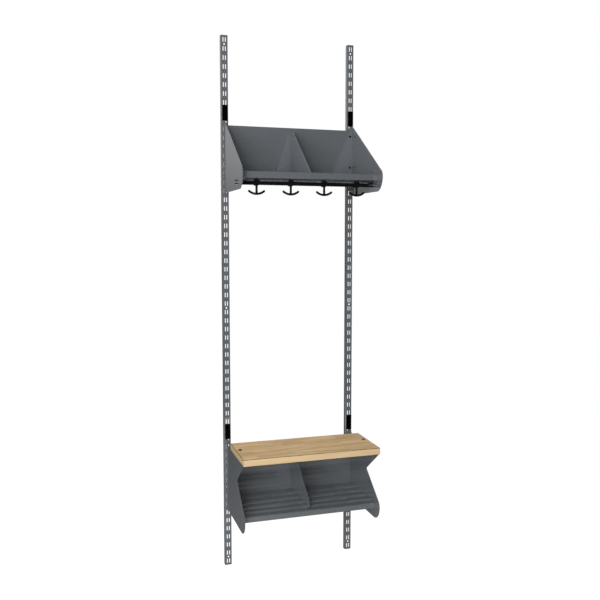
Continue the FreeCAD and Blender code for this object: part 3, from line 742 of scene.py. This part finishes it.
class HALLUNIT_OT_lock_clips(bpy.types.Operator):
    """Mould one lock clip with its pegs and finger grip, and copy it to the other slots"""

    bl_idname = "hall_unit.lock_clips"
    bl_label = "Mould Lock Clips"

    def execute(self, context):
        low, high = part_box(LOCK_CLIPS[0])
        middle = (low.x + high.x) / 2
        front_of_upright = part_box("upright_left")[0].y
        clip = add_block(low, (high.x, front_of_upright, high.z))
        round_some(clip, lambda place, edge: place.y < front_of_upright - NEAR, sizes().clip_edge_round,
                   segments=4)
        # The finger grip near the top: three grooves that leave two ridges between them.
        for groove_top in GROOVE_TOPS:
            top = high.z - groove_top
            groove = add_block((low.x - OVERRUN, low.y - OVERRUN, top - GROOVE_HEIGHT),
                               (high.x + OVERRUN, low.y + GROOVE_DEPTH, top))
            round_edges(groove, GROOVE_ROUND, segments=2)
            combine(clip, groove, "DIFFERENCE")
        for column in PEG_COLUMNS:
            for foot, top in PEG_SPANS:
                left = middle + column - PEG_WIDTH / 2
                peg = add_block((left, front_of_upright - OVERRUN, low.z + foot),
                                (left + PEG_WIDTH, high.y, low.z + top))
                edit(peg)
                pick(peg, "FACE", lambda place, face: place.y > high.y - NEAR)
                bpy.ops.transform.resize(value=PEG_TIP)
                bpy.ops.object.mode_set(mode="OBJECT")
                combine(clip, peg, "UNION")
        clips = [clip]
        for node in LOCK_CLIPS[1:]:
            clips.append(copied(clip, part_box(node)[0] - low))
        for node, obj in zip(LOCK_CLIPS, clips):
            complete(obj, node + "_moulded", ["moulded_black_nylon"], node, [node])
        return {"FINISHED"}


# Radius of the screws' heads, whose middles are those of the holes, and radius of the holes.
SEAT_HEAD_RADIUS = 0.006
SEAT_BORE_RADIUS = 0.00315


class HALLUNIT_OT_seat(bpy.types.Operator):
    """Plane the seat board from staves, round its edges and bore its screw holes"""

    bl_idname = "hall_unit.seat"
    bl_label = "Make Seat Board"

    def execute(self, context):
        low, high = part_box("bench_seat")
        screw_low, screw_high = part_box("seat_screws")
        board = add_block(low, high)
        edit(board)
        bpy.ops.mesh.select_all(action="SELECT")
        bpy.ops.mesh.bevel(offset=sizes().seat_edge_round, segments=3, affect="EDGES")
        # Staves show on the top, lipping on the edges, a seam where they meet, and painted shade on the
        # darkened underside.
        finishes = ("lacquered_hardwood_staves", "lacquered_hardwood_lipping", "glue_filled_seam",
                    "shaded_hardwood_underside")
        for finish_name in finishes:
            board.data.materials.append(finish(finish_name))
        pick(board, "FACE", lambda middle, face: abs(face.normal.z) < LEVEL)
        use_finish(board, "lacquered_hardwood_lipping")
        pick(board, "FACE", lambda middle, face: LEANING < face.normal.z < LEVEL)
        use_finish(board, "glue_filled_seam")
        # Painted shade: the underside faces take the darkened wood.
        pick(board, "FACE", lambda middle, face: face.normal.z < -LEVEL)
        use_finish(board, "shaded_hardwood_underside")
        bpy.ops.object.mode_set(mode="OBJECT")
        y = (screw_low.y + screw_high.y) / 2
        for x in (screw_low.x + SEAT_HEAD_RADIUS, screw_high.x - SEAT_HEAD_RADIUS):
            drill = add_bar((x, y, low.z - OVERRUN), (x, y, high.z + OVERRUN), SEAT_BORE_RADIUS, corners=32)
            combine(board, drill, "DIFFERENCE")
        complete(board, "bench_seat_staves", finishes, "frame", ["bench_seat"])
        return {"FINISHED"}


SEAT_HEAD_ROUND = 0.0014
SEAT_SOCKET_DEPTH = 0.0017
SEAT_SOCKET_RADIUS = 0.0023
SEAT_SHANK_RADIUS = 0.0029
SEAT_SHANK_CHAMFER = 0.0006
# Radius at which a nut's corners are turned off, as a multiple of half its width.
NUT_CROWN_RATIO = 1.12
NUT_CHAMFER = 0.0006
NUT_BORE_RADIUS = 0.00305


class HALLUNIT_OT_seat_fasteners(bpy.types.Operator):
    """Make the seat's socket-head screws and the nuts under them"""

    bl_idname = "hall_unit.seat_fasteners"
    bl_label = "Drive Seat Screws"

    def execute(self, context):
        low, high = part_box("seat_screws")
        nut_low, nut_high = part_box("seat_nuts")
        seat_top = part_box("bench_seat")[1].z
        y = (low.y + high.y) / 2
        head_radius = (high.y - low.y) / 2
        x = low.x + head_radius
        move = (high.x - head_radius - x, 0, 0)
        screw = add_bar((x, y, seat_top), (x, y, high.z), head_radius, corners=40)
        round_some(screw, lambda place, edge: place.z > high.z - NEAR, SEAT_HEAD_ROUND, segments=4)
        socket = add_bar((x, y, high.z - SEAT_SOCKET_DEPTH), (x, y, high.z + OVERRUN), SEAT_SOCKET_RADIUS,
                         corners=6)
        combine(screw, socket, "DIFFERENCE")
        shank = add_bar((x, y, low.z), (x, y, seat_top + OVERLAP), SEAT_SHANK_RADIUS, corners=32)
        round_some(shank, lambda place, edge: place.z < low.z + NEAR, SEAT_SHANK_CHAMFER, segments=1)
        combine(screw, shank, "UNION")
        screws = joined([screw, copied(screw, move)])
        complete(screws, "seat_screws_turned", ["blackened_turned_steel"], "frame",
                 ["seat_screws"])
        half_width = (nut_high.y - nut_low.y) / 2
        foot, top = Vector((x, y, nut_low.z)), Vector((x, y, nut_high.z))
        overrun = Vector((0, 0, OVERRUN))
        nut = add_hexagon(foot, top, half_width)
        crown = add_bar(foot, top, half_width * NUT_CROWN_RATIO, corners=48)
        round_edges(crown, NUT_CHAMFER, segments=1)
        combine(nut, crown, "INTERSECT")
        bore = add_bar(foot - overrun, top + overrun, NUT_BORE_RADIUS, corners=32)
        combine(nut, bore, "DIFFERENCE")
        nuts = joined([nut, copied(nut, move)])
        complete(nuts, "seat_nuts_turned", ["blackened_turned_steel"], "frame", ["seat_nuts"])
        return {"FINISHED"}


BIN_HEAD_HEIGHT = 0.0028
BIN_HEAD_HALF_WIDTH = 0.0035
# Radius at which a head's corners are turned off, as a multiple of half its width.
BIN_CROWN_RATIO = 1.1
BIN_CROWN_ROUND = 0.0007
BIN_SHANK_RADIUS = 0.0019
BIN_SHANK_CHAMFER = 0.0005


class HALLUNIT_OT_bin_screws(bpy.types.Operator):
    """Make the hexagon-head screws of the bin's back panel"""

    bl_idname = "hall_unit.bin_screws"
    bl_label = "Drive Bin Screws"

    def execute(self, context):
        low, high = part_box("bin_screws")
        panel_front = low.y + BIN_HEAD_HEIGHT
        radius = corner_radius(BIN_HEAD_HALF_WIDTH)
        x = low.x + radius
        z = low.z + BIN_HEAD_HALF_WIDTH
        screw = add_hexagon((x, panel_front, z), (x, low.y, z), BIN_HEAD_HALF_WIDTH)
        crown = add_bar((x, panel_front, z), (x, low.y, z), BIN_HEAD_HALF_WIDTH * BIN_CROWN_RATIO, corners=48)
        round_some(crown, lambda place, edge: place.y < low.y + NEAR, BIN_CROWN_ROUND, segments=2)
        combine(screw, crown, "INTERSECT")
        shank = add_bar((x, panel_front - OVERLAP, z), (x, high.y, z), BIN_SHANK_RADIUS, corners=24)
        round_some(shank, lambda place, edge: place.y > high.y - NEAR, BIN_SHANK_CHAMFER, segments=1)
        combine(screw, shank, "UNION")
        across = high.x - low.x - 2 * radius
        rise = high.z - low.z - 2 * BIN_HEAD_HALF_WIDTH
        others = [copied(screw, move) for move in ((across, 0, 0), (0, 0, rise), (across, 0, rise))]
        complete(joined([screw] + others), "bin_screws_turned", ["blackened_turned_steel"],
                 "frame", ["bin_screws"])
        return {"FINISHED"}


FLOOR_SIZE = 6.0
FLOOR_HEIGHT = -1.25
# Each light's name, place, width and height in metres, power in watts and spread in degrees.
LIGHTS = (
    ("key_light", (-1.6, -3.2, 1.0), (1.0, 1.4), 86, 180),
    ("side_light", (-2.3, -2.8, 0.05), (1.6, 1.6), 68, 180),
    ("low_light", (-0.4, -3.2, 0.2), (2.6, 0.8), 32, 180),
    ("left_light", (-2.6, -0.9, 1.4), (1.2, 1.2), 23, 180),
    ("right_light", (3.0, 0.1, -0.35), (1.4, 0.8), 32, 70),
    ("back_light", (0.6, 3.0, -0.35), (2.0, 0.8), 28, 70),
)
LIGHT_TARGET = (0, -0.1, 0)
# The camera's lens and sensor in millimetres, its place and reach in metres, and its dip and turn in degrees.
CAMERA_LENS = 44.396
CAMERA_SENSOR = 36.0
CAMERA_PLACE = (-0.7964, -2.7063, 0.2637)
CAMERA_REACH = 50.0
CAMERA_DIP = 4.874
CAMERA_TURN = -17.229


class HALLUNIT_OT_stage(bpy.types.Operator):
    """Set up the pale floor, the studio light and the camera"""

    bl_idname = "hall_unit.stage"
    bl_label = "Set Stage"

    def add_floor(self):
        """A matt floor that is white to the camera, and dark to the object so that gloss stays grey."""
        bpy.ops.object.select_all(action="DESELECT")
        bpy.ops.mesh.primitive_plane_add(size=FLOOR_SIZE, location=(0, 0, FLOOR_HEIGHT))
        floor = settle(bpy.context.object)
        floor.name = "pale_floor"
        material, tree, shader, place = new_material("pale_matt_floor")
        # It is darker in front of the unit than behind it, which the apron and the end plates mirror.
        axes = add_node(tree, "ShaderNodeSeparateXYZ", {}, {"Vector": place})
        sweep = add_node(tree, "ShaderNodeMapRange", {"interpolation_type": "SMOOTHSTEP"},
                         {"Value": axes.outputs["Y"], "From Min": -0.8, "From Max": 0.8,
                          "To Min": 0.1, "To Max": 0.18})
        path = add_node(tree, "ShaderNodeLightPath", {}, {})
        set_inputs(tree, shader, {"Base Color": sweep.outputs["Result"], "Roughness": 0.9,
                                  "Emission Color": (0.97, 0.97, 0.97, 1.0),
                                  "Emission Strength": path.outputs["Is Camera Ray"]})
        floor.data.materials.append(material)

    def add_light(self, name, place, size, power, spread):
        """A soft box that faces the unit; gloss mirrors the room instead of it."""
        data = bpy.data.lights.new(name, "AREA")
        data.shape = "RECTANGLE"
        data.size, data.size_y = size
        data.energy = power
        data.spread = math.radians(spread)
        obj = bpy.data.objects.new(name, data)
        obj.location = place
        obj.rotation_euler = (Vector(LIGHT_TARGET) - Vector(place)).to_track_quat("-Z", "Y").to_euler()
        obj.visible_glossy = False
        bpy.context.scene.collection.objects.link(obj)

    def add_air(self):
        """A room that is white to the camera, gives the object a little light, and is mirrored by gloss."""
        world = bpy.data.worlds.new("studio_air")
        world.use_nodes = True
        bpy.context.scene.world = world
        tree = world.node_tree
        tree.nodes.clear()
        path = add_node(tree, "ShaderNodeLightPath", {}, {})
        direction = add_node(tree, "ShaderNodeTexCoord", {}, {})
        axes = add_node(tree, "ShaderNodeSeparateXYZ", {}, {"Vector": direction.outputs["Generated"]})
        # Gloss mirrors the pale backdrop behind the unit, and the dim room in front of it and below.
        depth = add_node(tree, "ShaderNodeMapRange", {"interpolation_type": "SMOOTHSTEP"},
                         {"Value": axes.outputs["Y"], "From Min": -0.1, "From Max": 0.4,
                          "To Min": 0.03, "To Max": 0.45})
        height = add_node(tree, "ShaderNodeMapRange", {"interpolation_type": "SMOOTHSTEP"},
                          {"Value": axes.outputs["Z"], "From Min": -0.02, "From Max": 0.15,
                           "To Min": 0.05, "To Max": 1.0})
        room = add_node(tree, "ShaderNodeMath", {"operation": "MULTIPLY"},
                        {0: depth.outputs["Result"], 1: height.outputs["Result"]})
        unseen = add_node(tree, "ShaderNodeMix", {"data_type": "FLOAT"},
                          {"Factor": path.outputs["Is Glossy Ray"], "A": 0.05, "B": room.outputs["Value"]})
        seen = add_node(tree, "ShaderNodeMath", {"operation": "MAXIMUM"},
                        {0: path.outputs["Is Camera Ray"], 1: path.outputs["Is Transmission Ray"]})
        strength = add_node(tree, "ShaderNodeMix", {"data_type": "FLOAT"},
                            {"Factor": seen.outputs["Value"], "A": unseen.outputs["Result"], "B": 1.0})
        air = add_node(tree, "ShaderNodeBackground", {},
                       {"Color": (1.0, 1.0, 1.0, 1.0), "Strength": strength.outputs["Result"]})
        add_node(tree, "ShaderNodeOutputWorld", {}, {"Surface": air.outputs["Background"]})

    def add_camera(self):
        """A camera at the photograph's viewing angle."""
        data = bpy.data.cameras.new("photo_camera")
        data.sensor_width = CAMERA_SENSOR
        data.lens = CAMERA_LENS
        data.clip_end = CAMERA_REACH
        camera = bpy.data.objects.new("photo_camera", data)
        camera.location = CAMERA_PLACE
        camera.rotation_euler = (math.radians(90 - CAMERA_DIP), 0, math.radians(CAMERA_TURN))
        bpy.context.scene.collection.objects.link(camera)
        bpy.context.scene.camera = camera

    def execute(self, context):
        context.scene.view_settings.view_transform = "Standard"
        self.add_floor()
        for light in LIGHTS:
            self.add_light(*light)
        self.add_air()
        self.add_camera()
        return {"FINISHED"}


class HALLUNIT_PT_panel(bpy.types.Panel):
    """The steps that finish the hall unit"""

    bl_label = "Hall Unit"
    bl_idname = "HALLUNIT_PT_panel"
    bl_space_type = "VIEW_3D"
    bl_region_type = "UI"
    bl_category = "Hall Unit"

    def draw(self, context):
        for operator in OPERATORS:
            self.layout.operator(operator.bl_idname)
        for group in (sizes(), colours()):
            for name in group.bl_rna.properties.keys():
                if name not in ("rna_type", "name"):
                    self.layout.prop(group, name)


OPERATORS = (
    HALLUNIT_OT_stage,
    HALLUNIT_OT_steelwork,
    HALLUNIT_OT_hook_rail,
    HALLUNIT_OT_coat_hooks,
    HALLUNIT_OT_lock_clips,
    HALLUNIT_OT_seat,
    HALLUNIT_OT_seat_fasteners,
    HALLUNIT_OT_bin_screws,
)
CLASSES = (HallUnitSizes, HallUnitColours, *OPERATORS, HALLUNIT_PT_panel)


def register():
    for cls in CLASSES:
        bpy.utils.register_class(cls)
    bpy.types.Scene.hall_unit_sizes = bpy.props.PointerProperty(type=HallUnitSizes)
    bpy.types.Scene.hall_unit_colours = bpy.props.PointerProperty(type=HallUnitColours)


def unregister():
    del bpy.types.Scene.hall_unit_colours
    del bpy.types.Scene.hall_unit_sizes
    for cls in reversed(CLASSES):
        bpy.utils.unregister_class(cls)


def main():
    register()
    bpy.ops.hall_unit.stage()
    bpy.ops.hall_unit.steelwork()
    bpy.ops.hall_unit.hook_rail()
    bpy.ops.hall_unit.coat_hooks()
    bpy.ops.hall_unit.lock_clips()
    bpy.ops.hall_unit.seat()
    bpy.ops.hall_unit.seat_fasteners()
    bpy.ops.hall_unit.bin_screws()


if __name__ == "__main__":
    main()
